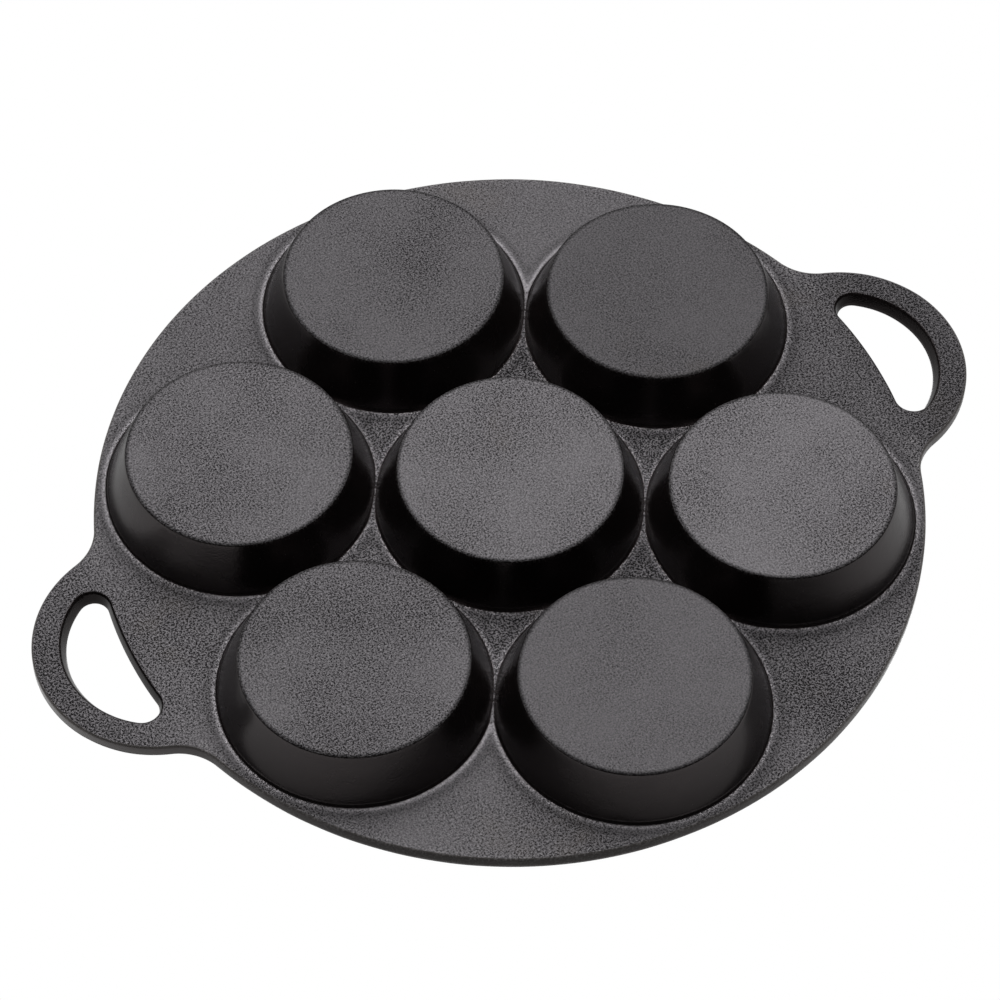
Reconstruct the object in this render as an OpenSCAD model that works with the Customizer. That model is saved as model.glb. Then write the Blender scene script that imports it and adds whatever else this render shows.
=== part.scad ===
// Seven-cup griddle pan, cast in one piece with two loop handles.
// It stands as it does on a stove: cup bottoms at z = 0, cup mouths up.
// The X axis runs through both handles, and the centre cup is on the Z axis.
// All lengths are in millimetres and all angles in degrees.

/* [Cups] */
// Spacing of the cups, centre to centre
cup_pitch = 89; // [80:0.5:98]
// Gap between the feet of two cups, where their walls meet the plate
foot_gap = 0.4; // [0.2:0.1:4]
// Depth of the cups below the underside of the plate
cup_drop = 18.5; // [12:0.5:28]
// Lean of the cup walls away from upright
wall_draft = 21; // [8:0.5:26]
// Thickness of the cup walls, measured level
cup_wall = 4.6; // [3.5:0.1:6.5]
// Thickness of the cup floors
cup_floor = 4.8; // [3.5:0.1:7]
// Rounding of the edge round each flat cup bottom
bottom_edge_r = 1; // [0.5:0.1:3]
// Rounding inside each cup, between floor and wall
inner_corner_r = 6; // [2:0.5:9]
// Hollow rounding at the foot of each cup
cove_r = 2; // [0.8:0.1:3.5]
// Rounding of the cup mouths
lip_r = 2; // [0.5:0.1:2.5]

/* [Plate] */
// Thickness of the plate and of the handles
plate_t = 5.1; // [4:0.1:8]
// Width of the flat rim outside the cup feet
rim_w = 3.85; // [2.5:0.05:9]
// Rounding of the edges of the plate and the handles
edge_r = 1; // [0.5:0.1:1.8]

/* [Handles] */
// How far each handle stands out beyond the plate
handle_out = 30.1; // [26:0.1:38]
// Outer radius of the loop
loop_r = 40.9; // [36:0.1:46]
// Width of the loop's bar at the cooking face
bar_w = 11.4; // [8:0.1:13]
// Radius of the hollow blend between loop and plate
root_blend_r = 17.8; // [12:0.1:22]
// Radius of the two corners of the finger opening, at the cooking face
opening_corner_r = 4.8; // [3:0.1:7]
// Lean of the opening's straight side, from cooking face to underside
plate_side_lean = 1; // [0:0.1:1.5]
// Lean of the opening's round side, along the bar
bar_side_lean = 2.2; // [0:0.1:3]

/* [Hidden] */

// Number of cups in the ring round the centre cup
ring_cups = 6;
// Angle of the first ring cup; a half step puts the handles between two cups
first_cup_angle = 180 / ring_cups;

// Cup walls
top_z = cup_drop + plate_t;
foot_r = (cup_pitch - foot_gap) / 2;
function wall_r(z) = foot_r - (cup_drop - z) * tan(wall_draft);
function inner_r(z) = wall_r(z) - cup_wall;

// A wall meets floor, plate and lip at the same angle, so one rule gives how far
// a rounding of radius r reaches from the corner along the wall and along the flat
function reach(r) = r / tan((90 + wall_draft) / 2);
function reach_up(r) = reach(r) * cos(wall_draft);

// A short straight stretch of wall stays with the plate below each cove
cove_land = 0.4;
cup_top_z = cup_drop - reach_up(cove_r) - cove_land;

// Plate and handle outline
plate_r = cup_pitch + foot_r + rim_w;
loop_x = plate_r + handle_out - loop_r;

// The point at positive Y that is this far from the plate's centre and from the loop's centre
function meet(from_plate, from_loop) =
    let (x = (pow(from_plate, 2) - pow(from_loop, 2) + pow(loop_x, 2)) / (2 * loop_x))
    [x, sqrt(pow(from_plate, 2) - pow(x, 2))];

// The directions of a point as seen from the plate's centre and from the loop's centre
function plate_angle(p) = atan2(p[1], p[0]);
function loop_angle(p) = atan2(p[1], p[0] - loop_x);

blend = meet(plate_r + root_blend_r, loop_r + root_blend_r);

// Finger opening at the cooking face, bounded inside by the plate's own edge
opening_r = loop_r - bar_w;

// The handles join the plate on an upright plane that passes just inside the hollow blends
seam_inset = 2;
seam_x = plate_r * cos(plate_angle(blend)) - seam_inset;

// Steps of the rounded edges and of the curves of the handle outline
edge_steps = 4;
plate_steps = 2;
blend_steps = 8;
loop_steps = 36;
seam_steps = 6;
// Segments of a full turn, for what is revolved and for the rounds of its profile
turn_fn = 180;
cast_iron = [0.27, 0.27, 0.28];
cast_iron_cups = [0.34, 0.34, 0.35];

// Points of an arc; the angles may run either way
function arc(centre, r, from, to, steps) =
    [for (i = [0:steps]) centre + r * [cos(from + (to - from) * i / steps),
                                       sin(from + (to - from) * i / steps)]];

// The rounded edge from underside to cooking face, as [inset, height] pairs
function edge_profile() =
    concat([for (p = arc([edge_r, edge_r], edge_r, 270, 180, edge_steps)) p],
           [for (p = arc([edge_r, plate_t - edge_r], edge_r, 180, 90, edge_steps)) p]);

// The part of an opening wall's lean that is left at a height above the underside
function lean_left(z) = 1 - z / plate_t;

module disc_at(centre, r) {
    translate(centre) circle(r = r, $fn = turn_fn);
}

// One cup below the plate, with its centre on the Z axis
module cup() {
    edge = [wall_r(0) - reach(bottom_edge_r), bottom_edge_r];
    edge_z = reach_up(bottom_edge_r);
    corner = [inner_r(cup_floor) - reach(inner_corner_r), cup_floor + inner_corner_r];
    corner_z = cup_floor + reach_up(inner_corner_r);
    rotate_extrude($fn = turn_fn) difference() {
        union() {
            polygon([[0, 0], [edge[0], 0], edge, [wall_r(edge_z), edge_z],
                     [wall_r(cup_top_z), cup_top_z], [inner_r(cup_top_z), cup_top_z],
                     [inner_r(corner_z), corner_z], corner, [corner[0], cup_floor], [0, cup_floor]]);
            disc_at(edge, bottom_edge_r);
        }
        disc_at(corner, inner_corner_r);
    }
}

// The collar that carries a cup: the top of its wall with the cove against the plate
module collar() {
    inside = inner_r(cup_top_z) - cup_wall / 2;
    sunk_z = cup_drop + plate_t / 2;
    cove_z = cup_drop - reach_up(cove_r);
    cove = [foot_r + reach(cove_r), cup_drop - cove_r];
    rotate_extrude($fn = turn_fn) difference() {
        polygon([[inside, cup_top_z], [wall_r(cup_top_z), cup_top_z], [wall_r(cove_z), cove_z],
                 cove, [cove[0], sunk_z], [inside, sunk_z]]);
        disc_at(cove, cove_r);
    }
}

// The hollow of a cup through collar and plate, with its rounded lip
module mouth() {
    below = cup_top_z - 1;
    above = top_z + 1;
    lip_z = top_z - reach_up(lip_r);
    lip = [inner_r(top_z) + reach(lip_r), top_z - lip_r];
    rotate_extrude($fn = turn_fn) difference() {
        polygon([[0, below], [inner_r(below), below], [inner_r(lip_z), lip_z], lip,
                 [lip[0], above], [0, above]]);
        disc_at(lip, lip_r);
    }
}

// The round plate with its rounded rim, before cups and handles
module disc() {
    translate([0, 0, cup_drop]) rotate_extrude($fn = turn_fn) union() {
        square([plate_r - edge_r, plate_t]);
        translate([0, edge_r]) square([plate_r, plate_t - 2 * edge_r]);
        disc_at([plate_r - edge_r, edge_r], edge_r);
        disc_at([plate_r - edge_r, plate_t - edge_r], edge_r);
    }
}

module at_ring_cup(number) {
    rotate(first_cup_angle + (number - 1) * 360 / ring_cups) translate([cup_pitch, 0, 0]) children();
}

module at_every_cup() {
    children();
    for (number = [1:ring_cups]) at_ring_cup(number) children();
}

// The round plate between the two handle seams
module griddle_plate() {
    color(cast_iron) difference() {
        union() {
            intersection() {
                disc();
                translate([-seam_x, -plate_r, cup_drop - 1])
                    cube([2 * seam_x, 2 * plate_r, plate_t + 2]);
            }
            at_every_cup() collar();
        }
        at_every_cup() mouth();
    }
}

module cup_centre() {
    color(cast_iron_cups) cup();
}

module ring_cup(number) {
    color(cast_iron_cups) at_ring_cup(number) cup();
}

// Half of the handle's outer edge, from the seam to the tip, moved in by the given inset
function handle_half(inset) =
    let (seam_angle = acos(seam_x / (plate_r - inset)))
    concat(arc([0, 0], plate_r - inset, seam_angle, plate_angle(blend), plate_steps),
           [for (i = [1:blend_steps]) arc(blend, root_blend_r + inset,
               180 + plate_angle(blend), 180 + loop_angle(blend), blend_steps)[i]],
           [for (i = [1:loop_steps / 2]) arc([loop_x, 0], loop_r - inset,
               loop_angle(blend), 0, loop_steps / 2)[i]]);

// Half of the opening's edge, from the middle of its straight side to its outermost point.
// Its two sides lean by different amounts, and the corner stays tangent to both.
function opening_half(inset, lean) =
    let (plate_side_r = plate_r - inset - lean * plate_side_lean,
         bar_side_r = opening_r + inset + lean * bar_side_lean,
         corner_r = opening_corner_r + inset + lean * (plate_side_lean + bar_side_lean) / 2,
         corner = meet(plate_side_r + corner_r, bar_side_r - corner_r))
    concat(arc([0, 0], plate_side_r, 0, plate_angle(corner), plate_steps + seam_steps / 2),
           [for (i = [1:blend_steps]) arc(corner, corner_r,
               180 + plate_angle(corner), loop_angle(corner), blend_steps)[i]],
           [for (i = [1:loop_steps / 2]) arc([loop_x, 0], bar_side_r,
               loop_angle(corner), 0, loop_steps / 2)[i]]);

function mirrored(path) = [for (i = [len(path) - 2:-1:1]) [path[i][0], -path[i][1]]];

// Both closed edges start at the inner side's middle and have the same number of points
function handle_edge(inset) =
    let (half = handle_half(inset),
         seam = [for (i = [0:seam_steps / 2 - 1]) [seam_x, half[0][1] * i * 2 / seam_steps]],
         path = concat(seam, half))
    concat(path, mirrored(path));

function opening_edge(inset, lean) =
    let (path = opening_half(inset, lean))
    concat(path, mirrored(path));

// Two triangles for each cell between two rings of points
function ring_faces(n, a, b) =
    [for (i = [0:n - 1]) let (j = (i + 1) % n) each [[a + i, b + i, b + j], [a + i, b + j, a + j]]];

// A plain-walled loop of the plate's own thickness, with all its edges rounded
module handle() {
    profile = edge_profile();
    rings = len(profile);
    n = len(handle_edge(0));
    outer = [for (e = profile) for (p = handle_edge(e[0])) [p[0], p[1], cup_drop + e[1]]];
    inner = [for (e = profile) for (p = opening_edge(e[0], lean_left(e[1])))
        [p[0], p[1], cup_drop + e[1]]];
    hole = n * rings;
    faces = concat(
        [for (k = [0:rings - 2]) each ring_faces(n, k * n, (k + 1) * n)],
        [for (k = [0:rings - 2]) each ring_faces(n, hole + (k + 1) * n, hole + k * n)],
        ring_faces(n, hole, 0),
        ring_faces(n, (rings - 1) * n, hole + (rings - 1) * n));
    color(cast_iron) polyhedron(concat(outer, inner), faces);
}

module handle_right() {
    handle();
}

module handle_left() {
    rotate(180) handle();
}

griddle_plate();
cup_centre();
ring_cup(1);  // cup_1
ring_cup(2);  // cup_2
ring_cup(3);  // cup_3
ring_cup(4);  // cup_4
ring_cup(5);  // cup_5
ring_cup(6);  // cup_6
handle_right();
handle_left();
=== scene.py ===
"""Looks of the seven-cup griddle pan: one iron casting with two loop handles.

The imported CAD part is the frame. Each of its nodes is replaced by a finer mesh with the same sizes, and
neighbouring meshes share the points on their seams, so that the pan reads as one casting.
The photograph shows the pan bottom up, so the main camera looks at the pan from below.
Shapes are worked out in millimetres and become metres when a mesh is made."""

import math

import bmesh
import bpy
import numpy as np
from mathutils import Matrix, Vector
from mathutils.geometry import delaunay_2d_cdt


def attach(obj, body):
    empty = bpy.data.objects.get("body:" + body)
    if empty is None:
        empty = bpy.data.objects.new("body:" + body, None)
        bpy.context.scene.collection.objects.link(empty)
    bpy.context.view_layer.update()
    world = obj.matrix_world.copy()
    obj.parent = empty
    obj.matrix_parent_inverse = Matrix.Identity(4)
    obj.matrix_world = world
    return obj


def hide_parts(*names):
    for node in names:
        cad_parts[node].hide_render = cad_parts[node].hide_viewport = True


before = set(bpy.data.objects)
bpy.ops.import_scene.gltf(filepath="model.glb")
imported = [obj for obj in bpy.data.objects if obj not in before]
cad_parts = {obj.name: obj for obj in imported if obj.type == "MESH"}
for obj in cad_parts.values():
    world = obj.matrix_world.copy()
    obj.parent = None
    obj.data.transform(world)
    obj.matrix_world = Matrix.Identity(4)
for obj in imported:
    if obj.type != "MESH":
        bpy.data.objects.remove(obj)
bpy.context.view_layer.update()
MM = 0.001

# Driving sizes of the pan in millimetres and degrees, as in its CAD source
CUP_PITCH = 89.0
FOOT_GAP = 0.4
CUP_DROP = 18.5
WALL_DRAFT = 21.0
CUP_WALL = 4.6
CUP_FLOOR = 4.8
BOTTOM_EDGE_R = 1.0
INNER_CORNER_R = 6.0
COVE_R = 2.0
LIP_R = 2.0
PLATE_T = 5.1
RIM_W = 3.85
EDGE_R = 1.0
HANDLE_OUT = 30.1
LOOP_R = 40.9
BAR_W = 11.4
ROOT_BLEND_R = 17.8
OPENING_CORNER_R = 4.8
PLATE_SIDE_LEAN = 1.0
BAR_SIDE_LEAN = 2.2
RING_CUPS = 6
COVE_LAND = 0.4
SEAM_INSET = 2.0

# Camera, from a fit of the pan's circles to the photograph
CAMERA_AZIMUTH = 116.998
CAMERA_ELEVATION = -54.424
CAMERA_DISTANCE = 1.3936
CAMERA_LENS = 153.764
CAMERA_SENSOR = 36
CAMERA_CLIP = (0.05, 50)
CAMERA_RIGHT = Vector((0.89737, 0.44123, -0.00718))
CAMERA_UP = Vector((0.35719, -0.73582, -0.57532))
# The photographed plate sits 0.76 mm off its cups towards the camera; the camera takes up half of that
CAMERA_BACK = 0.00038

# Fineness of the meshes
CUP_SEGMENTS = 240
RIM_SEGMENTS = 220
SEAM_SEGMENTS = 30
LOOP_SEGMENTS = 84
BLEND_SEGMENTS = 18
PLATE_SIDE_SEGMENTS = 14
RIM_END_SEGMENTS = 2
ROUND_STEPS = 8
COVE_STEPS = 12
COVE_WALL_STEPS = 2
LIP_STEPS = 10
LIP_WALL_STEPS = 5
GAP_STEPS = 28
SHARP_ANGLE = 35.0
# Level faces are filled with points at this pitch, clear of the cups and of outlines by these shares of it. The fill
# ends this far short of the plate's seams, and reaches this many loop radii to either side of a handle's middle
FILL_PITCH = 3.2
CLEAR_OF_CUPS = 0.7
CLEAR_OF_OUTLINE = 0.6
CLEAR_OF_SEAM = 2.0
HANDLE_FILL = 1.6
# Extra rings of points on the level face outside each cove and each lip
COVE_SKIRT = (0.8, 2.0, 3.8)
LIP_SKIRT = (0.7,)
# Points of a level face stay this far from its rim and seams, and this much nearer to their own cup
CLEAR_OF_RIM = 0.6
OWN_SIDE = 0.25
# The middle of each flat bottom and floor is a fan of triangles of this radius
FAN_R = 3.0

# Unevenness of the casting: how far its skin strays, over what lengths, and how many strays it is drawn in by
STRAY = 0.05
STRAY_WAVES = 14
STRAY_LENGTHS = (14.0, 60.0)
STRAY_SEED = 7
STRAY_ROOM = 2.2


def tan_deg(a):
    return math.tan(math.radians(a))


def wall_r(z):
    return FOOT_R - (CUP_DROP - z) * tan_deg(WALL_DRAFT)


def inner_r(z):
    return wall_r(z) - CUP_WALL


def reach(r):
    """How far a rounding between a cup wall and a level face reaches along either."""
    return r / tan_deg((90 + WALL_DRAFT) / 2)


def reach_up(r):
    return reach(r) * math.cos(math.radians(WALL_DRAFT))


TOP_Z = CUP_DROP + PLATE_T
FOOT_R = (CUP_PITCH - FOOT_GAP) / 2
CUP_TOP_Z = CUP_DROP - reach_up(COVE_R) - COVE_LAND
PLATE_R = CUP_PITCH + FOOT_R + RIM_W
LOOP_X = PLATE_R + HANDLE_OUT - LOOP_R
OPENING_R = LOOP_R - BAR_W


def where_circles_meet(from_plate, from_loop):
    """The point at these distances from the plate's centre and the loop's centre, at positive Y."""
    x = (from_plate ** 2 - from_loop ** 2 + LOOP_X ** 2) / (2 * LOOP_X)
    return x, math.sqrt(from_plate ** 2 - x ** 2)


BLEND = where_circles_meet(PLATE_R + ROOT_BLEND_R, LOOP_R + ROOT_BLEND_R)
BLEND_PLATE_ANGLE = math.atan2(BLEND[1], BLEND[0])
BLEND_LOOP_ANGLE = math.atan2(BLEND[1], BLEND[0] - LOOP_X)
SEAM_X = PLATE_R * math.cos(BLEND_PLATE_ANGLE) - SEAM_INSET
CUP_ANGLES = [math.pi / RING_CUPS * (2 * i + 1) for i in range(RING_CUPS)]
CUP_CENTRES = [(0.0, 0.0)] + [(CUP_PITCH * math.cos(a), CUP_PITCH * math.sin(a)) for a in CUP_ANGLES]


def arc(centre, r, start, end, steps):
    """Points of an arc, as an array of [x, y]; angles in radians."""
    a = np.linspace(start, end, steps + 1)
    return np.column_stack([centre[0] + r * np.cos(a), centre[1] + r * np.sin(a)])


def degrees_arc(centre, r, start, end, steps):
    return arc(centre, r, math.radians(start), math.radians(end), steps)


def line(a, b, steps):
    t = np.linspace(0, 1, steps + 1)[:, None]
    return np.array(a) * (1 - t) + np.array(b) * t


def joined(*paths):
    """Paths end to end, without the points that two neighbours share."""
    points = [paths[0]] + [p[1:] for p in paths[1:]]
    return np.vstack(points)


def ring_edges(rings):
    """The edges of closed rings, as pairs of places in one list of all their points."""
    edges, first = [], 0
    for ring in rings:
        n = len(ring)
        edges += [(first + i, first + (i + 1) % n) for i in range(n)]
        first += n
    return edges


# What the triangulation returns, and how near two points are one, in millimetres
ALL_TRIANGLES = 0
SAME_POINT = 1e-7


class Skin:
    """Collects the points and faces of one closed mesh, in millimetres."""

    def __init__(self):
        self.points = []
        self.faces = []

    def add(self, points):
        first = len(self.points)
        self.points.extend(map(tuple, points))
        return list(range(first, len(self.points)))

    def ring(self, flat, z):
        z = np.broadcast_to(z, len(flat))
        return self.add(np.column_stack([flat, z]))

    def bridge(self, a, b):
        n = len(a)
        self.faces += [(a[i], a[(i + 1) % n], b[(i + 1) % n], b[i]) for i in range(n)]

    def fan(self, ring, centre):
        n = len(ring)
        self.faces += [(ring[i], ring[(i + 1) % n], centre) for i in range(n)]

    def sheet(self, rings, flat, height):
        """Triangles over the level region between closed rings, through more points at a height."""
        own = self.ring(flat, height)
        index = [i for ring in rings for i in ring] + own
        where = [Vector(self.points[i][:2]) for i in index]
        edges = ring_edges(rings)
        made = delaunay_2d_cdt(where, edges, [], ALL_TRIANGLES, SAME_POINT)
        source = [ids[0] for ids in made[3]]
        triangles = np.array([[source[i] for i in face] for face in made[2]])
        flat_points = np.array([tuple(p) for p in where])
        middle = flat_points[triangles].mean(axis=1)
        keep = inside(middle, flat_points, edges)
        self.faces += [tuple(index[i] for i in face) for face in triangles[keep]]


def inside(places, points, edges):
    """Which places lie within the closed rings that these edges make, by the even-odd rule."""
    crossings = np.zeros(len(places), dtype=int)
    x, y = places.T
    for a, b in edges:
        (ax, ay), (bx, by) = points[a], points[b]
        if ay == by:
            continue
        spans = (ay > y) != (by > y)
        crossings += spans & (x < ax + (y - ay) / (by - ay) * (bx - ax))
    return crossings % 2 == 1


def distance_to_cups(flat):
    """Each point's distance from each cup's centre."""
    return np.linalg.norm(flat[:, None, :] - np.array(CUP_CENTRES)[None], axis=2)


def hex_fill(half_x, half_y):
    """Points in staggered rows over an oblong about the origin."""
    along = np.arange(-half_x, half_x, FILL_PITCH)
    rows = np.arange(-half_y, half_y, FILL_PITCH * math.sqrt(3) / 2)
    return np.vstack([np.column_stack([along + (i % 2) * FILL_PITCH / 2, np.full(len(along), y)])
                      for i, y in enumerate(rows)])


def edge_profile():
    """The plate's rounded edge from underside to cooking face, as [inset, height] pairs."""
    low = degrees_arc((EDGE_R, EDGE_R), EDGE_R, 270, 180, ROUND_STEPS)
    high = degrees_arc((EDGE_R, PLATE_T - EDGE_R), EDGE_R, 180, 90, ROUND_STEPS)
    return np.vstack([low, high])


def seam_line(inset):
    """Points on the seam plane at +X from -Y to +Y, for the rim moved in by inset."""
    half = math.sqrt((PLATE_R - inset) ** 2 - SEAM_X ** 2)
    return line((SEAM_X, -half), (SEAM_X, half), SEAM_SEGMENTS)


def plate_outline(inset):
    """The closed outline of the plate between its two seams."""
    right = seam_line(inset)
    left = -right
    a = math.atan2(right[-1][1], SEAM_X)
    far = arc((0, 0), PLATE_R - inset, a, math.pi - a, RIM_SEGMENTS)
    near = -far
    return joined(right, far, left, near)[:-1]


def handle_outline(inset):
    """The closed outline of the handle at +X, from its seam round the loop and back."""
    seam = seam_line(inset)
    seam_angle = math.atan2(seam[-1][1], SEAM_X)
    half = joined(arc((0, 0), PLATE_R - inset, seam_angle, BLEND_PLATE_ANGLE, RIM_END_SEGMENTS),
                  arc(BLEND, ROOT_BLEND_R + inset, math.pi + BLEND_PLATE_ANGLE,
                      math.pi + BLEND_LOOP_ANGLE, BLEND_SEGMENTS),
                  arc((LOOP_X, 0), LOOP_R - inset, BLEND_LOOP_ANGLE, 0, LOOP_SEGMENTS // 2))
    other = half[::-1] * (1, -1)
    return joined(seam, half, other)[:-1]


def opening_outline(inset, lean):
    """The closed outline of the finger opening, moved into the metal by inset and a share of the lean."""
    plate_side_r = PLATE_R - inset - lean * PLATE_SIDE_LEAN
    bar_side_r = OPENING_R + inset + lean * BAR_SIDE_LEAN
    corner_r = OPENING_CORNER_R + inset + lean * (PLATE_SIDE_LEAN + BAR_SIDE_LEAN) / 2
    corner = where_circles_meet(plate_side_r + corner_r, bar_side_r - corner_r)
    plate_angle = math.atan2(corner[1], corner[0])
    loop_angle = math.atan2(corner[1], corner[0] - LOOP_X)
    half = joined(arc((0, 0), plate_side_r, 0, plate_angle, PLATE_SIDE_SEGMENTS),
                  arc(corner, corner_r, math.pi + plate_angle, loop_angle, BLEND_SEGMENTS),
                  arc((LOOP_X, 0), bar_side_r, loop_angle, 0, LOOP_SEGMENTS // 2))
    other = half[::-1] * (1, -1)
    return joined(half, other)[:-1]


def smooth_min(a, b, k):
    """The lesser of two values, with a rounding of size k where they meet."""
    h = np.clip(0.5 + 0.5 * (b - a) / k, 0, 1)
    return b * (1 - h) + a * h - k * h * (1 - h)


# The rounding where two coves meet, and the room left for rounding errors in comparisons
SADDLE_BLEND = 0.7
SLACK = 1e-6
# Distances from a cup's axis: the cove's end on the plate, its start on the wall, and the seam under it
COVE_OUT = FOOT_R + reach(COVE_R)
COVE_IN = wall_r(CUP_DROP - reach_up(COVE_R))
SEAM_R = wall_r(CUP_TOP_Z)


def foot_height(r):
    """Height of a cup's outer wall and cove at distance r from its centre."""
    wall = CUP_DROP - (FOOT_R - r) / tan_deg(WALL_DRAFT)
    away = np.clip(COVE_OUT - r, 0, COVE_R)
    cove = CUP_DROP - COVE_R + np.sqrt(COVE_R ** 2 - away ** 2)
    return np.where(r < COVE_IN, wall, cove)


def underside_height(flat):
    """Height of the underside, where the coves of neighbouring cups run together in saddles."""
    heights = np.sort(foot_height(distance_to_cups(flat)), axis=1)
    joint = smooth_min(heights[:, 0], heights[:, 1], SADDLE_BLEND)
    return np.where(heights[:, 1] < CUP_DROP - SLACK, np.minimum(joint, heights[:, 0]), heights[:, 0])


def mouth_height(flat):
    """Height of the cooking side: the plate, the lips of the mouths and the walls down to the seam."""
    r = distance_to_cups(flat).min(axis=1)
    lip_out = inner_r(TOP_Z) + reach(LIP_R)
    lip_in = inner_r(TOP_Z - reach_up(LIP_R))
    wall = CUP_TOP_Z + (r - inner_r(CUP_TOP_Z)) / tan_deg(WALL_DRAFT)
    away = np.clip(lip_out - r, 0, LIP_R)
    lip = TOP_Z - LIP_R + np.sqrt(LIP_R ** 2 - away ** 2)
    return np.where(r < lip_in, wall, lip)


def circle(centre, r, segments=CUP_SEGMENTS):
    return arc(centre, r, 0, 2 * math.pi, segments)[:-1]


def rings_and_fill(radii):
    """Points in rings round every cup, each kept nearer to its own cup, and a fill outside the last ring."""
    rings = []
    for number, centre in enumerate(CUP_CENTRES):
        for r in radii:
            ring = circle(centre, r)
            gaps = distance_to_cups(ring)
            own = gaps[:, number]
            others = np.delete(gaps, number, axis=1).min(axis=1)
            rings.append(ring[own < others - OWN_SIDE])
    fill = hex_fill(SEAM_X - CLEAR_OF_SEAM, PLATE_R)
    fill = fill[distance_to_cups(fill).min(axis=1) > radii[-1] + FILL_PITCH * CLEAR_OF_CUPS]
    points = np.vstack(rings + [fill, between_cups()])
    apart = np.linalg.norm(points, axis=1) < PLATE_R - EDGE_R - CLEAR_OF_RIM
    return points[apart & (np.abs(points[:, 0]) < SEAM_X - CLEAR_OF_RIM)]


def between_cups():
    """Points along the middle of each narrow gap between two neighbouring cups."""
    lines = []
    half = math.sqrt(COVE_OUT ** 2 - (CUP_PITCH / 2) ** 2)
    for i, a in enumerate(CUP_CENTRES):
        for b in CUP_CENTRES[i + 1:]:
            a2, b2 = np.array(a), np.array(b)
            if np.linalg.norm(a2 - b2) > CUP_PITCH + SLACK:
                continue
            along = (b2 - a2)[::-1] * (-1, 1) / CUP_PITCH
            middle = (a2 + b2) / 2
            lines.append(line(middle - along * half, middle + along * half, GAP_STEPS))
    return np.vstack(lines)


def cove_radii():
    """Radii of the rings from the seam up the wall, through the cove and a little over the plate."""
    cove = COVE_OUT + COVE_R * np.cos(np.radians(np.linspace(180 - WALL_DRAFT, 90, COVE_STEPS + 1)))
    wall = np.linspace(SEAM_R, COVE_IN, COVE_WALL_STEPS + 1)[1:-1]
    return np.concatenate([wall, cove, COVE_OUT + np.array(COVE_SKIRT)])


def lip_radii():
    """Radii of the rings from the seam up the inner wall, over the lip and a little over the plate."""
    lip_out = inner_r(TOP_Z) + reach(LIP_R)
    lip = lip_out + LIP_R * np.cos(np.radians(np.linspace(180 - WALL_DRAFT, 90, LIP_STEPS + 1)))
    wall = np.linspace(inner_r(CUP_TOP_Z), inner_r(TOP_Z - reach_up(LIP_R)), LIP_WALL_STEPS + 1)[1:-1]
    return np.concatenate([wall, lip, lip_out + np.array(LIP_SKIRT)])


def plate_skin():
    skin = Skin()
    rim = [skin.ring(plate_outline(inset), CUP_DROP + z) for inset, z in edge_profile()]
    for low, high in zip(rim, rim[1:]):
        skin.bridge(low, high)
    outer = [skin.ring(circle(c, SEAM_R), CUP_TOP_Z) for c in CUP_CENTRES]
    inner = [skin.ring(circle(c, inner_r(CUP_TOP_Z)), CUP_TOP_Z) for c in CUP_CENTRES]
    for a, b in zip(outer, inner):
        skin.bridge(a, b)
    under = rings_and_fill(cove_radii())
    skin.sheet([rim[0]] + outer, under, underside_height(under))
    over = rings_and_fill(lip_radii())
    skin.sheet([rim[-1]] + inner, over, mouth_height(over))
    return skin


def cup_profile():
    """Half section of a cup from its bottom, over wall and seam, to its floor. Each stretch ends with its steps."""
    edge = (wall_r(0) - reach(BOTTOM_EDGE_R), BOTTOM_EDGE_R)
    corner = (inner_r(CUP_FLOOR) - reach(INNER_CORNER_R), CUP_FLOOR + INNER_CORNER_R)
    edge_top = (wall_r(reach_up(BOTTOM_EDGE_R)), reach_up(BOTTOM_EDGE_R))
    corner_top = (inner_r(CUP_FLOOR + reach_up(INNER_CORNER_R)), CUP_FLOOR + reach_up(INNER_CORNER_R))
    return joined(line((FAN_R, 0), (edge[0] - 1, 0), 10),
                  line((edge[0] - 1, 0), (edge[0], 0), 4),
                  degrees_arc(edge, BOTTOM_EDGE_R, 270, 360 - WALL_DRAFT, 10),
                  line(edge_top, (SEAM_R, CUP_TOP_Z), 12),
                  line((SEAM_R, CUP_TOP_Z), (inner_r(CUP_TOP_Z), CUP_TOP_Z), 2),
                  line((inner_r(CUP_TOP_Z), CUP_TOP_Z), corner_top, 6),
                  degrees_arc(corner, INNER_CORNER_R, 360 - WALL_DRAFT, 270, 12),
                  line((corner[0], CUP_FLOOR), (FAN_R, CUP_FLOOR), 9))


def cup_skin(centre):
    skin = Skin()
    rings = [skin.ring(circle(centre, r), z) for r, z in cup_profile()]
    for a, b in zip(rings, rings[1:]):
        skin.bridge(a, b)
    bottom, floor = skin.add([(*centre, 0), (*centre, CUP_FLOOR)])
    skin.fan(rings[0], bottom)
    skin.fan(rings[-1], floor)
    return skin


def handle_skin(turn):
    """The handle at +X, or with turn -1 the one at -X."""
    skin = Skin()
    outer, opening = [], []
    for inset, z in edge_profile():
        lean = 1 - z / PLATE_T
        outer.append(skin.ring(handle_outline(inset) * turn, CUP_DROP + z))
        opening.append(skin.ring(opening_outline(inset, lean) * turn, CUP_DROP + z))
    for loops in (outer, opening):
        for low, high in zip(loops, loops[1:]):
            skin.bridge(low, high)
    fill = hex_fill(PLATE_R + HANDLE_OUT, LOOP_R * HANDLE_FILL)
    for side, z in ((0, CUP_DROP), (-1, TOP_Z)):
        outline = np.array([skin.points[i][:2] for i in outer[side] + opening[side]])
        gap = np.linalg.norm(fill[:, None] - outline[None], axis=2).min(axis=1)
        places = fill[gap > FILL_PITCH * CLEAR_OF_OUTLINE]
        edges = ring_edges([outer[side], opening[side]])
        skin.sheet([outer[side], opening[side]], places[inside(places, outline, edges)], z)
    return skin


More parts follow.
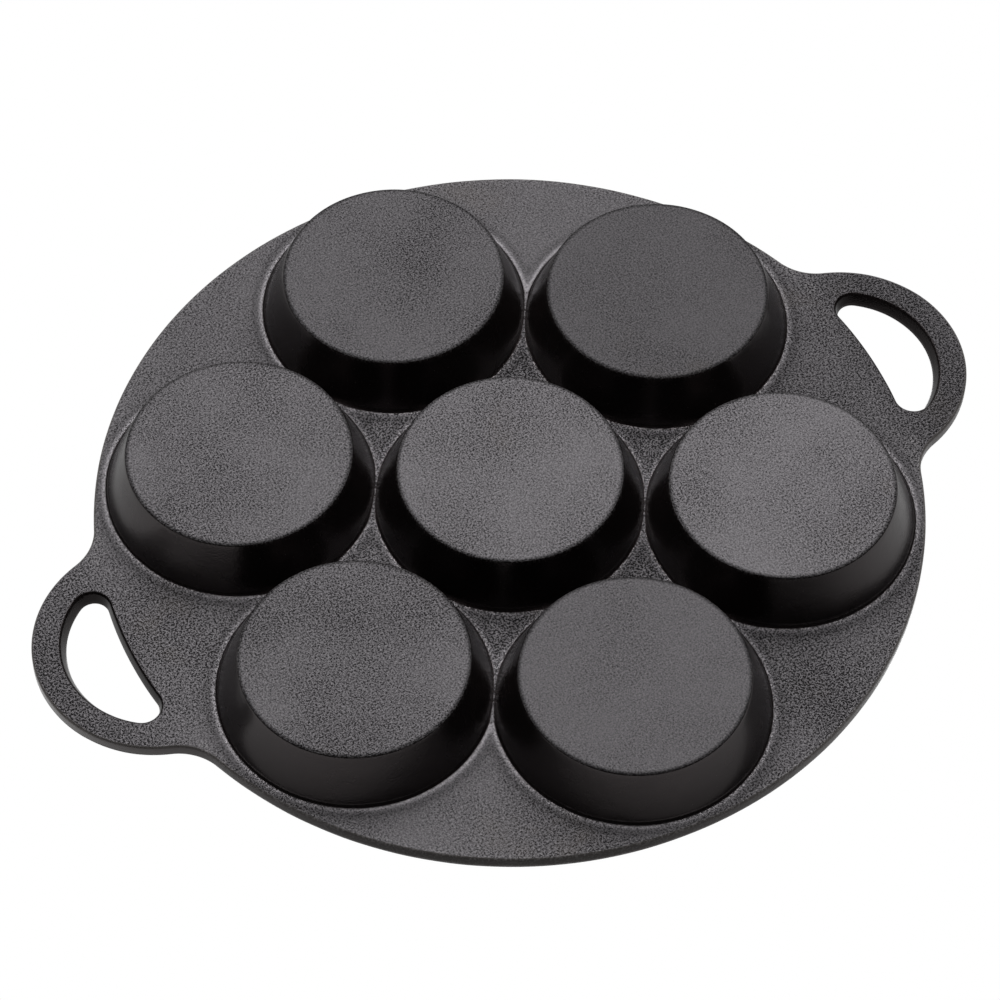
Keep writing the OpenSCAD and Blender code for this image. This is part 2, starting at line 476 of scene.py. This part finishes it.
def stray(points):
    """How far the cast skin strays from its true form: a few long waves, the same on both sides of a seam."""
    rng = np.random.default_rng(STRAY_SEED)
    moved = np.zeros_like(points)
    for _ in range(STRAY_WAVES):
        length = rng.uniform(*STRAY_LENGTHS)
        heading = rng.normal(size=3)
        push = rng.normal(size=3)
        phase = rng.uniform(0, 2 * math.pi)
        wave = np.sin(points @ (heading / np.linalg.norm(heading)) * 2 * math.pi / length + phase)
        moved += wave[:, None] * push / np.linalg.norm(push)
    return moved * STRAY / math.sqrt(STRAY_WAVES)


def settle(points):
    """The skin as cast: uneven, and drawn in a little so that it stays within the CAD part's box."""
    points = np.array(points)
    room = STRAY_ROOM * STRAY
    half = np.array([PLATE_R + HANDLE_OUT, PLATE_R, TOP_Z / 2])
    middle = np.array([0, 0, TOP_Z / 2])
    inward = (points - middle) * (1 - room / half) + middle
    low, high = middle - half, middle + half
    return np.clip(inward + stray(points), low, high)


# How light the iron is painted on its level faces, partly painted light and shade that copies how brightly each
# region
# is lit: each cup's bottom, from the centre cup round the ring; the plate between the ring cups and the rim, in six
# steps of azimuth from +X; the gaps round the centre cup; the handles at +X and -X; and the whole cooking side
BOTTOM_GREYS = (1.2, 1.25, 0.9, 1.1, 1.1, 0.85, 0.68)
RIM_GREYS = (0.85, 1.05, 1.1, 1.2, 0.92, 0.92)
GAP_GREY = 1.5
HANDLE_GREYS = (0.75, 1.1)
COOKING_GREY = 0.8
# How strong the sand grain is in the same places
BOTTOM_GRAINS = (0.7, 0.7, 0.45, 0.9, 0.85, 0.8, 0.45)
RIM_GRAINS = (1.0, 1.5, 0.5, 1.05, 0.85, 0.4)
GAP_GRAIN = 2.3
HANDLE_GRAINS = (1.3, 1.5)
COOKING_GRAIN = 0.6
# How glossy the cups' outer walls are, in the same order, and the finger openings; one cup has a duller patch, round
# an azimuth of its own
WALL_SHEENS = (0.45, 1.0, 1.0, 1.0, 1.0, 1.0, 1.0)
OPENING_SHEEN = 0.45
DULL_CUP, DULL_AZIMUTH, DULL_SPREAD, DULL_SHARE = 1, 108, 30, 0.35
# Between these distances from the middle the gaps pass into the rim, and the plate into a handle
GAPS_TO_RIM = (66.0, 88.0)
PLATE_TO_HANDLE = (130.0, 148.0)
# Painted light and shade round each foot, by how far outside the cove they are, how wide and how strong:
# a painted highlight line in the cove and a ring of painted shade on the plate
FOOT_HIGHLIGHT_AND_SHADE = ((-0.4, 0.5, 0.4), (1.9, 1.2, -0.27))
# Between these distances from a cup's axis its flat bottom darkens into the rounded edge, as painted shade along the
# edge
BOTTOM_TO_EDGE = (35.8, 36.7)
BOTTOM_EDGE_SHADE = 0.3
# Marks along edges, as distance from the cup's or the plate's axis, height, and width
COVE_POLISH = (COVE_OUT - 0.3, CUP_DROP - 0.1, 0.8)
BOTTOM_EDGE = (wall_r(0) - 0.3, 0.3, 0.9)
FOOT_MARK = (wall_r(0) - 0.4, 0.4, 0.8)
LIP_MARK = (inner_r(TOP_Z), TOP_Z, 1.4)
RIM_MARKS = ((PLATE_R, CUP_DROP, 1.0), (PLATE_R, TOP_Z, 1.0))
# How worn the last three are
FOOT_WEAR, LIP_WEAR, RIM_WEAR = 0.12, 0.6, 0.5
# The feet's painted highlight and shade reach this far above the plate's underside, and the bottoms' painted edge
# shade this far above the bottoms
FOOT_BAND, BOTTOM_BAND = 1.0, 1.0
# The openings' gloss starts this far inside the plate's rim, and the tone of the outer side this far
OPENING_FROM, OUTER_FROM = 3.0, 1.5
# A cup's hollow counts as this much wider and deeper than its skin, so that the skin falls inside it
HOLLOW_WIDER, HOLLOW_DEEPER = 0.2, 0.1


def closeness(r, z, edge_r, edge_z, width):
    """1 on an edge, falling to nothing at about twice the width from it."""
    return np.exp(-((r - edge_r) ** 2 + (z - edge_z) ** 2) / width ** 2)


def polish_at(points):
    """How smooth the skin is: most in the coves."""
    r = distance_to_cups(points[:, :2]).min(axis=1)
    return closeness(r, points[:, 2], *COVE_POLISH)


def round_table(points, values):
    """A value for each point out of a table that runs round the pan in even steps from +X."""
    azimuth = np.degrees(np.arctan2(points[:, 1], points[:, 0])) % 360
    return np.interp(azimuth, np.linspace(0, 360, len(values) + 1), (*values, values[0]))


def plate_share(points, at_rim, in_gaps, handles, cooking):
    """Spreads the tables for rim, gaps and handles over plate and handles, with one value for the cooking side."""
    from_middle = np.hypot(points[:, 0], points[:, 1])
    out = np.interp(from_middle, GAPS_TO_RIM, (0, 1))
    share = out * round_table(points, at_rim) + (1 - out) * in_gaps
    for side, own in zip((1, -1), handles):
        part = np.interp(points[:, 0] * side, PLATE_TO_HANDLE, (0, 1))
        share = share * (1 - part) + own * part
    return np.where(points[:, 2] > CUP_DROP + PLATE_T / 2, cooking, share)


def from_axis(points, number):
    """Each point's distance from one cup's axis."""
    return np.hypot(*(points[:, :2] - CUP_CENTRES[number]).T)


def cup_share(points, number, outside, hollow):
    """One value for a cup's outside, and one for its hollow."""
    z = points[:, 2]
    inner = (z > CUP_FLOOR - HOLLOW_DEEPER) & (from_axis(points, number) < inner_r(z) + HOLLOW_WIDER)
    return np.where(inner, hollow, outside)


def sheen_at(points, number):
    """How glossy a cup's skin is."""
    x, y = (points[:, :2] - CUP_CENTRES[number]).T
    sheen = np.full(len(points), WALL_SHEENS[number])
    if number == DULL_CUP:
        away = (np.degrees(np.arctan2(y, x)) - DULL_AZIMUTH + 180) % 360 - 180
        sheen *= 1 - (1 - DULL_SHARE) * np.exp(-(away / DULL_SPREAD) ** 2)
    return cup_share(points, number, sheen, 1.0)


def painted_foot_highlight_and_shade(points):
    """Painted highlight in each cove and painted shade on the plate round each cup's foot, as a share of the plate's
    tone.
    """
    away = distance_to_cups(points[:, :2]).min(axis=1) - COVE_OUT
    change = sum(strength * np.exp(-((away - place) / width) ** 2) for place, width, strength in FOOT_HIGHLIGHT_AND_SHADE)
    return np.where(points[:, 2] < CUP_DROP + FOOT_BAND, 1 + change, 1)


def painted_edge_shade(points, number):
    """The share of the flat bottom's tone on it and on its rounded edge, which painted shade darkens."""
    share = np.interp(from_axis(points, number), BOTTOM_TO_EDGE, (1, BOTTOM_EDGE_SHADE))
    return np.where(points[:, 2] < BOTTOM_BAND, share, 1)


def by_opening(points):
    """Which points lie on or near a finger opening, and not on the outer side of a handle."""
    from_middle = np.hypot(points[:, 0], points[:, 1])
    from_loop = np.hypot(np.abs(points[:, 0]) - LOOP_X, points[:, 1])
    return (from_middle > PLATE_R - OPENING_FROM) & (from_loop < OPENING_R + BAR_W / 2)


def rim_at(points):
    """Which points lie on the outer side of plate and handles, which is coloured lighter than the cups' walls."""
    from_middle = np.hypot(points[:, 0], points[:, 1])
    return np.where((from_middle > PLATE_R - OUTER_FROM) & ~by_opening(points), 1.0, 0.0)


def edge_at(points):
    """Which points lie on the rounded edges of the flat bottoms, which look like the flats."""
    r = distance_to_cups(points[:, :2]).min(axis=1)
    return closeness(r, points[:, 2], *BOTTOM_EDGE)


def wear_at(points):
    """How worn each point is: most on the lips of the mouths and the edges of the rim."""
    r = distance_to_cups(points[:, :2]).min(axis=1)
    z = points[:, 2]
    foot = closeness(r, z, *FOOT_MARK)
    lip = closeness(r, z, *LIP_MARK)
    from_middle = np.hypot(points[:, 0], points[:, 1])
    rim = sum(closeness(from_middle, z, *mark) for mark in RIM_MARKS) * ~by_opening(points)
    return np.clip(FOOT_WEAR * foot + LIP_WEAR * lip + RIM_WEAR * rim, 0, 1)


def make_piece(name, skin, node, material, cup=None):
    """Makes the mesh of a skin, dresses it and puts it in the place of its CAD node."""
    raw = np.array(skin.points)
    # The grey of each point also carries painted light and shade: by region, round each foot and along the flat
    # bottoms' edges
    if cup is None:
        grey_and_painted_light = plate_share(raw, RIM_GREYS, GAP_GREY, HANDLE_GREYS, COOKING_GREY) * painted_foot_highlight_and_shade(raw)
        sheen = np.where(by_opening(raw), OPENING_SHEEN, 1.0)
        grain = plate_share(raw, RIM_GRAINS, GAP_GRAIN, HANDLE_GRAINS, COOKING_GRAIN)
    else:
        grey_and_painted_light = cup_share(raw, cup, BOTTOM_GREYS[cup], COOKING_GREY) * painted_edge_shade(raw, cup)
        grain = cup_share(raw, cup, BOTTOM_GRAINS[cup], COOKING_GRAIN)
        sheen = sheen_at(raw, cup)
    mesh = bpy.data.meshes.new(name)
    mesh.from_pydata((settle(raw) * MM).tolist(), [], skin.faces)
    shape = bmesh.new()
    shape.from_mesh(mesh)
    bmesh.ops.recalc_face_normals(shape, faces=shape.faces)
    shape.to_mesh(mesh)
    shape.free()
    mesh.polygons.foreach_set("use_smooth", [True] * len(mesh.polygons))
    mesh.set_sharp_from_angle(angle=math.radians(SHARP_ANGLE))
    painted_on = {"wear": wear_at(raw), "polish": polish_at(raw), "edge": edge_at(raw), "rim": rim_at(raw),
                  "grey_and_painted_light": grey_and_painted_light, "grain": grain, "sheen": sheen}
    for label, values in painted_on.items():
        painted = mesh.attributes.new(label, "FLOAT", "POINT")
        painted.data.foreach_set("value", values.astype(np.float32))
    mesh.materials.append(material)
    piece = bpy.data.objects.new(name, mesh)
    bpy.context.scene.collection.objects.link(piece)
    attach(piece, "root")
    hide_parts(node)


# Materials
class Nodes:
    """Short calls for making and linking the nodes of one material."""

    def __init__(self, tree):
        self.tree = tree
        tree.nodes.clear()

    def make(self, kind, inputs=(), **settings):
        node = self.tree.nodes.new(kind)
        for key, value in settings.items():
            setattr(node, key, value)
        for key, value in dict(inputs).items():
            if isinstance(value, bpy.types.NodeSocket):
                self.tree.links.new(value, node.inputs[key])
            else:
                node.inputs[key].default_value = value
        return node

    def math(self, operation, a, b=0.0):
        return self.make("ShaderNodeMath", {0: a, 1: b}, operation=operation).outputs[0]

    def ramp(self, value, low, high, to_low=0.0, to_high=1.0):
        node = self.make("ShaderNodeMapRange", {0: value, 1: low, 2: high, 3: to_low, 4: to_high})
        return node.outputs[0]

    def noise(self, where, scale, detail=2.0, roughness=0.5, dimensions="3D"):
        inputs = {"Vector": where, "Scale": scale, "Detail": detail, "Roughness": roughness}
        return self.make("ShaderNodeTexNoise", inputs, noise_dimensions=dimensions).outputs[0]

    def mix_value(self, factor, a, b):
        return self.make("ShaderNodeMix", {0: factor, 2: a, 3: b}, data_type="FLOAT").outputs[0]

    def mix(self, factor, a, b):
        node = self.make("ShaderNodeMix", {0: factor}, data_type="RGBA")
        for socket, value in ((node.inputs[6], a), (node.inputs[7], b)):
            if isinstance(value, bpy.types.NodeSocket):
                self.tree.links.new(value, socket)
            else:
                socket.default_value = (*value, 1)
        return node.outputs[2]


# Colours of seasoned iron, as linear values
WALL_DARK = (0.0024, 0.0018, 0.0018)
WALL_LIGHT = (0.0065, 0.0050, 0.0050)
RIM_SIDE = (0.080, 0.075, 0.072)
# The dark end of the grain's colour, painted shade in its pits
PIT_SHADE = (0.006, 0.0055, 0.006)
# The faces' light grey is partly painted light that stands in for the lamp's reflection on level faces, and partly
# their duller, grainy skin
FACE_LIGHT = (0.125, 0.119, 0.125)
DUST = (0.045, 0.043, 0.043)
IRON_WORN = (0.24, 0.23, 0.23)
TAN = (0.080, 0.068, 0.054)
# Gloss and its tint
SPECULAR = 0.5
WALL_TINT = (1.0, 0.88, 0.89)
FACE_TINT = (1.0, 0.95, 1.0)
WALL_ROUGHNESS = 0.26
FACE_ROUGHNESS = 0.58
POLISH_GLOSS = 0.7
POLISH_SMOOTHING = 0.16
# A face counts as level where its normal's share along Z is in this span; the flat bottoms' edges get a little extra
LEVEL_SPAN = (0.86, 0.985)
EDGE_EXTRA = 0.12
# Sand grain: the scales of its two noises, its size on plate and cups, its depth in millimetres and the contrast of
# its colour, which paints shade in its pits and light on its peaks
GRAIN_SCALES = (1000, 1700)
PLATE_GRAIN_SIZE, CUP_GRAIN_SIZE = 0.72, 0.66
GRAIN_DEPTH = 0.26
GRAIN_CONTRAST = 1.35
# Noise scales of the patches, from fine to broad
MEDIUM_SCALE, RIPPLE_SCALE, BLOTCH_SCALE, BROAD_SCALE = 260.0, 110.0, 55.0, 22.0
# What the noises do, as the span of noise and the span of values that it becomes, which is 0 to 1 where it's left out
GRAIN_PATCHES = (0.35, 0.65, 0.6, 1.4)
BLOTCH_TONE = (0.3, 0.7, 0.46, 0.54)
MEDIUM_TONE = (0.3, 0.7, -0.03, 0.03)
BLOTCH_ROUGHNESS = (0.3, 0.7, -0.04, 0.04)
DUST_SPECKS = (0.80, 0.90)
SMUDGE_PATCHES = (0.62, 0.76, 0.0, 0.5)
SMUDGE_SPOTS = (0.42, 0.68)
WORN_SPOTS = (0.50, 0.66)
# The same from walls to level faces: the height of grain and ripples; and the gloss of faces, from dark to light tone
GRAIN_HEIGHT = (0, 1, 0.12, 1.0)
RIPPLE_HEIGHT = (0, 1, 0.5, 0.15)
TONE_GLOSS = (0, 1, 0.3, 1.7)


def cast_iron(name, grain_size):
    """Seasoned cast iron: sand grain on level faces, smoother steep walls, worn edges, tan smudges."""
    material = bpy.data.materials.new(name)
    material.use_nodes = True
    n = Nodes(material.node_tree)
    where = n.make("ShaderNodeTexCoord").outputs["Object"]
    normal = n.make("ShaderNodeNewGeometry").outputs["Normal"]
    labels = ("wear", "polish", "edge", "rim", "grey_and_painted_light", "grain", "sheen")
    wear, polish, edge, rim, grey_and_painted_light, strength, sheen = (
        n.make("ShaderNodeAttribute", attribute_name=label).outputs["Fac"] for label in labels)
    up = n.math("ABSOLUTE", n.make("ShaderNodeSeparateXYZ", {0: normal}).outputs[2])
    level = n.ramp(n.math("ADD", up, n.math("MULTIPLY", edge, EDGE_EXTRA)), *LEVEL_SPAN)

    # The grain is flat noise on level faces and solid noise on walls, where flat noise would make streaks
    fine, finer = (n.mix_value(level, n.noise(where, scale / grain_size, detail=0.0),
                               n.noise(where, scale / grain_size, detail=0.0, dimensions="2D"))
                   for scale in GRAIN_SCALES)
    medium = n.noise(where, MEDIUM_SCALE)
    ripple = n.noise(where, RIPPLE_SCALE)
    blotch = n.noise(where, BLOTCH_SCALE, detail=3.0, roughness=0.55)
    broad = n.noise(where, BROAD_SCALE)

    patch = n.math("MULTIPLY", strength, n.ramp(broad, *GRAIN_PATCHES))
    grain = n.math("MULTIPLY", n.math("SUBTRACT", n.math("ADD", fine, finer), 1.0), patch)
    grain_height = n.math("MULTIPLY", grain, n.ramp(level, *GRAIN_HEIGHT))
    ripple_height = n.math("MULTIPLY", ripple, n.ramp(level, *RIPPLE_HEIGHT))
    bump = n.make("ShaderNodeBump", {"Height": n.math("ADD", grain_height, ripple_height), "Strength": 1.0,
                                     "Distance": GRAIN_DEPTH * MM}).outputs[0]

    # Colour: dust on the walls' high points, grain with painted shade in its pits and painted light on its peaks, tan
    # smudges, bare iron where worn
    mottle = n.math("ADD", n.ramp(blotch, *BLOTCH_TONE), n.ramp(medium, *MEDIUM_TONE))
    tone = n.math("ADD", n.math("MULTIPLY", grain, GRAIN_CONTRAST), mottle)
    wall = n.mix(tone, WALL_DARK, WALL_LIGHT)
    wall = n.mix(n.ramp(finer, *DUST_SPECKS), wall, DUST)
    wall = n.mix(rim, wall, RIM_SIDE)
    face = n.mix(tone, PIT_SHADE, FACE_LIGHT)
    smudge = n.math("MULTIPLY", n.ramp(broad, *SMUDGE_PATCHES), n.ramp(blotch, *SMUDGE_SPOTS))
    face = n.mix(smudge, face, TAN)
    # The faces' colour is scaled by their grey, which carries painted light and shade
    face = n.make("ShaderNodeVectorMath", {0: face, "Scale": grey_and_painted_light}, operation="SCALE").outputs[0]
    # Level faces take the face colour, which is partly painted light; steep walls take the near-black wall colour
    colour = n.mix(level, wall, face)
    rubbed = n.math("MULTIPLY", wear, n.ramp(fine, *WORN_SPOTS))
    colour = n.mix(rubbed, colour, IRON_WORN)

    # Gloss: with the tone on faces, by sheen on walls, and more where polished
    gloss = n.math("MULTIPLY", n.math("MULTIPLY", grey_and_painted_light, SPECULAR), n.ramp(tone, *TONE_GLOSS))
    gloss = n.mix_value(level, n.math("MULTIPLY", sheen, SPECULAR), gloss)
    gloss = n.math("ADD", gloss, n.math("MULTIPLY", polish, POLISH_GLOSS))
    tint = n.mix(level, WALL_TINT, FACE_TINT)
    rough = n.ramp(level, 0, 1, WALL_ROUGHNESS, FACE_ROUGHNESS)
    rough = n.math("ADD", rough, n.ramp(blotch, *BLOTCH_ROUGHNESS))
    rough = n.math("SUBTRACT", rough, n.math("MULTIPLY", polish, POLISH_SMOOTHING))
    surface = n.make("ShaderNodeBsdfPrincipled", {
        "Base Color": colour, "Roughness": rough, "Normal": bump, "Specular IOR Level": gloss,
        "Specular Tint": tint, "Metallic": 0.0})
    n.make("ShaderNodeOutputMaterial", {"Surface": surface.outputs[0]})
    return material


# Stage
def aim(thing, place, target):
    thing.location = place
    thing.rotation_euler = (Vector(target) - Vector(place)).to_track_quat("-Z", "Y").to_euler()


def direction(azimuth, elevation):
    """A unit vector; azimuth is turned from +X towards +Y, in degrees."""
    a, e = math.radians(azimuth), math.radians(elevation)
    return Vector((math.cos(a) * math.cos(e), math.sin(a) * math.cos(e), math.sin(e)))


def make_camera():
    data = bpy.data.cameras.new("camera")
    data.lens = CAMERA_LENS
    data.sensor_width = CAMERA_SENSOR
    data.clip_start, data.clip_end = CAMERA_CLIP
    camera = bpy.data.objects.new("camera", data)
    bpy.context.scene.collection.objects.link(camera)
    back = CAMERA_RIGHT.cross(CAMERA_UP)
    turn = Matrix((CAMERA_RIGHT, CAMERA_UP, back)).transposed()
    place = direction(CAMERA_AZIMUTH, CAMERA_ELEVATION) * CAMERA_DISTANCE
    place -= direction(CAMERA_AZIMUTH, 0) * CAMERA_BACK
    camera.matrix_world = Matrix.LocRotScale(place, turn.to_quaternion(), None)
    bpy.context.scene.camera = camera


def softbox(name, azimuth, elevation, distance, width, height, radiance):
    """A large oblong lamp that faces the pan; radiance 1 looks as bright as white paper."""
    data = bpy.data.lights.new(name, "AREA")
    data.shape = "RECTANGLE"
    data.size, data.size_y = width, height
    data.energy = LAMP_WHITE * radiance * width * height
    lamp = bpy.data.objects.new(name, data)
    bpy.context.scene.collection.objects.link(lamp)
    aim(lamp, direction(azimuth, elevation) * distance, (0, 0, 0))
    lamp.visible_camera = False


# The main lamp stands on the far side of the pan as the photograph shows it
KEY_AZIMUTH = CAMERA_AZIMUTH + 180
# Power for each square metre of a lamp that looks as bright as white paper
LAMP_WHITE = 4
# The world's light above the horizon, its share straight up as gloss sees it, and its light below the horizon
TABLE_LIGHT = 0.5
TABLE_TOP_LIGHT = 0.35
ROOM_LIGHT = 0.02
# The Z of directions between which the halves pass into each other, and from which the light falls off upwards
HORIZON = (-0.02, 0.06)
TOP_FROM = 0.3
# The table, in metres: how far it lies under the cooking face, and its outer radius
TABLE_DROP = 0.0016
TABLE_R = 2.0
TABLE_SEGMENTS = 96
# The pan's shade on the table: its light, how far its middle lies from the pan's, and the radii between which it ends
TABLE_SHADE = 0.10
TABLE_SHADE_OFFSET = 0.070
TABLE_SHADE_SPAN = (0.075, 0.160)
# The share of light on the lamp's side of the table, and the distances from the middle between which it sets in
TABLE_FAR_SHARE = 0.5
TABLE_FAR_SPAN = (-0.05, 0.09)
# The floor, in metres: half its width, its colour, and the distances between which it fades into white
FLOOR_HALF = 8.0
FLOOR_PALE = 0.86
FLOOR_FADE = (0.5, 4.0)


def make_world():
    """White to the camera. The half above the pan lights it as a white table would; the half below is a dim room."""
    world = bpy.data.worlds.new("studio")
    bpy.context.scene.world = world
    world.use_nodes = True
    n = Nodes(world.node_tree)
    along = n.make("ShaderNodeTexCoord").outputs["Generated"]
    up = n.make("ShaderNodeSeparateXYZ", {0: along}).outputs[2]
    above = n.ramp(up, *HORIZON)
    path = n.make("ShaderNodeLightPath").outputs
    shiny = n.math("MAXIMUM", path["Is Glossy Ray"], path["Is Transmission Ray"])
    table = n.ramp(shiny, 0, 1, TABLE_LIGHT, n.ramp(up, TOP_FROM, 1.0, 1.0, TABLE_TOP_LIGHT))
    light = n.math("ADD", n.math("MULTIPLY", above, table),
                   n.math("MULTIPLY", n.math("SUBTRACT", 1.0, above), ROOM_LIGHT))
    strength = n.math("MAXIMUM", path["Is Camera Ray"], light)
    sky = n.make("ShaderNodeBackground", {"Color": (1, 1, 1, 1), "Strength": strength})
    n.make("ShaderNodeOutputWorld", {"Surface": sky.outputs[0]})


def stage_sheet(name, points, faces, light, hidden_from):
    """A sheet that is clear from below and not seen by some kinds of ray. The function light makes the shader of
    its upper side, out of the maker of nodes and the place on the sheet."""
    mesh = bpy.data.meshes.new(name)
    mesh.from_pydata(points, [], faces)
    sheet = bpy.data.objects.new(name, mesh)
    bpy.context.scene.collection.objects.link(sheet)
    material = bpy.data.materials.new(name + "_white")
    material.use_nodes = True
    n = Nodes(material.node_tree)
    where = n.make("ShaderNodeTexCoord").outputs["Object"]
    upper = light(n, where)
    clear = n.make("ShaderNodeBsdfTransparent").outputs[0]
    behind = n.make("ShaderNodeNewGeometry").outputs["Backfacing"]
    surface = n.make("ShaderNodeMixShader", {0: behind, 1: upper, 2: clear}).outputs[0]
    n.make("ShaderNodeOutputMaterial", {"Surface": surface})
    mesh.materials.append(material)
    for kind in hidden_from:
        setattr(sheet, "visible_" + kind, False)
    return sheet


def table_light(n, where):
    """White, but dark in the pan's shade, which falls away from the lamp, and dimmer on the lamp's side."""
    away_from_lamp = direction(KEY_AZIMUTH - 180, 0)
    shade_middle = away_from_lamp * TABLE_SHADE_OFFSET
    from_shade = n.make("ShaderNodeVectorMath", {0: where, 1: shade_middle}, operation="DISTANCE").outputs[1]
    along = n.make("ShaderNodeVectorMath", {0: where, 1: away_from_lamp}, operation="DOT_PRODUCT").outputs[1]
    strength = n.math("MULTIPLY", n.ramp(from_shade, *TABLE_SHADE_SPAN, TABLE_SHADE, 1.0),
                      n.ramp(along, *TABLE_FAR_SPAN, TABLE_FAR_SHARE, 1.0))
    return n.make("ShaderNodeEmission", {"Color": (1, 1, 1, 1), "Strength": strength}).outputs[0]


def floor_light(n, where):
    """Pale near the pan, and fading into white far out."""
    pale = n.make("ShaderNodeBsdfDiffuse", {"Color": (FLOOR_PALE, FLOOR_PALE, FLOOR_PALE, 1)}).outputs[0]
    white = n.make("ShaderNodeEmission", {"Color": (1, 1, 1, 1), "Strength": 1.0}).outputs[0]
    far = n.make("ShaderNodeVectorMath", {0: where}, operation="LENGTH").outputs[1]
    return n.make("ShaderNodeMixShader", {0: n.ramp(far, *FLOOR_FADE), 1: pale, 2: white}).outputs[0]


def make_table():
    """The white table that the upturned pan lies on in the photograph, seen in reflections only."""
    m = TABLE_SEGMENTS
    height = np.full(m, TOP_Z * MM - TABLE_DROP)
    inner, outer = (np.column_stack([circle((0, 0), r, m), height]) for r in (PLATE_R * MM, TABLE_R))
    faces = [(i, (i + 1) % m, m + (i + 1) % m, m + i) for i in range(m)]
    table = stage_sheet("table", inner.tolist() + outer.tolist(), faces, table_light,
                        ("camera", "diffuse", "transmission", "shadow"))


def make_floor():
    """A pale floor that is seen from above only, because the main camera looks up at the pan."""
    half = FLOOR_HALF
    corners = [(-half, -half, 0), (half, -half, 0), (half, half, 0), (-half, half, 0)]
    floor = stage_sheet("floor", corners, [(0, 1, 2, 3)], floor_light,
                        ("diffuse", "glossy", "transmission", "shadow"))


make_camera()
make_world()
make_floor()
make_table()
softbox("under_key", KEY_AZIMUTH, -62, distance=1.0, width=1.5, height=0.95, radiance=3.3)
softbox("upper_key", -60, 62, distance=1.6, width=1.2, height=1.2, radiance=1.6)
bpy.context.scene.view_settings.view_transform = "Standard"

plate_iron = cast_iron("plate_iron", PLATE_GRAIN_SIZE)
cup_iron = cast_iron("cup_iron", CUP_GRAIN_SIZE)

make_piece("plate_casting", plate_skin(), "griddle_plate", plate_iron)
for number, centre in enumerate(CUP_CENTRES):
    node = f"cup_{number}" if number else "cup_centre"
    make_piece(node + "_casting", cup_skin(centre), node, cup_iron, number)
make_piece("handle_right_casting", handle_skin(1), "handle_right", plate_iron)
make_piece("handle_left_casting", handle_skin(-1), "handle_left", plate_iron)
